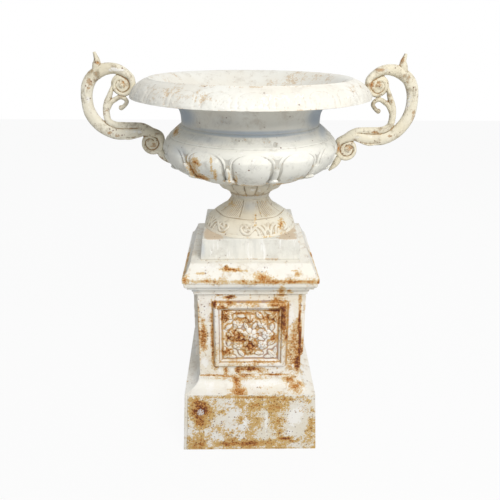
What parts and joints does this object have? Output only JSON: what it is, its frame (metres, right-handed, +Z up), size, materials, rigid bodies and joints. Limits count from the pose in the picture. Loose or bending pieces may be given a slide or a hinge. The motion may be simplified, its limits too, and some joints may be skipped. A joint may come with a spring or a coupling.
{
  "type": "jardiniere on stand",
  "caption": "Free-standing garden jardiniere: a gadrooned cast-iron urn with scroll handles, which lifts off a square pedestal with framed relief panels and a bolted block.",
  "frame": {"origin": "on the ground, under the middle of the pedestal", "axes": "+Z up, +X to the right seen from the front, +Y to the back, so the front faces -Y"},
  "size_m": [0.8527, 0.6, 1.0656],
  "materials": {
    "cream_paint": "worn cream paint over iron, with rust stains and pits",
    "grey_paint": "worn pale grey paint with vertical streaks",
    "rusty_paint": "flaking cream paint with ochre rust patches",
    "tan_paint": "worn tan-cream paint, darker in the hollows",
    "bare_iron": "bare rusted iron"
  },
  "bodies": {
    "pedestal": {"block_plate_front": "rusty_paint", "block_plate_right": "rusty_paint", "block_plate_back": "rusty_paint", "block_plate_left": "rusty_paint", "block_bolt_front": "bare_iron", "block_bolt_right": "bare_iron", "block_bolt_back": "bare_iron", "block_bolt_left": "bare_iron", "block_nut_front": "bare_iron", "block_nut_right": "bare_iron", "block_nut_back": "bare_iron", "block_nut_left": "bare_iron", "skirt": "cream_paint", "panel_front": "cream_paint", "panel_right": "cream_paint", "panel_back": "cream_paint", "panel_left": "cream_paint", "cap": "cream_paint", "tie_bar": "bare_iron", "tie_rod": "bare_iron", "tie_washer_low": "bare_iron", "tie_nut_low": "bare_iron", "tie_washer_high": "bare_iron", "tie_nut_high": "bare_iron"},
    "urn": {"urn_plinth": "grey_paint", "urn_foot": "tan_paint", "urn_collar": "tan_paint", "urn_bowl": "cream_paint", "urn_rim": "cream_paint", "urn_rod": "bare_iron", "urn_washer_low": "bare_iron", "urn_nut_low": "bare_iron", "urn_washer_high": "bare_iron", "urn_nut_high": "bare_iron", "handle_left": "tan_paint", "handle_right": "tan_paint", "lip_screw_left": "bare_iron", "lip_screw_right": "bare_iron", "lip_washer_left": "bare_iron", "lip_washer_right": "bare_iron", "belly_screw_left": "bare_iron", "belly_screw_right": "bare_iron", "belly_washer_left": "bare_iron", "belly_washer_right": "bare_iron"}
  },
  "joints": [
    {"name": "urn_lift", "type": "slide", "parent": "pedestal", "child": "urn", "axis": [0, 0, 1], "range_m": [0, 0.15]}
  ]
}
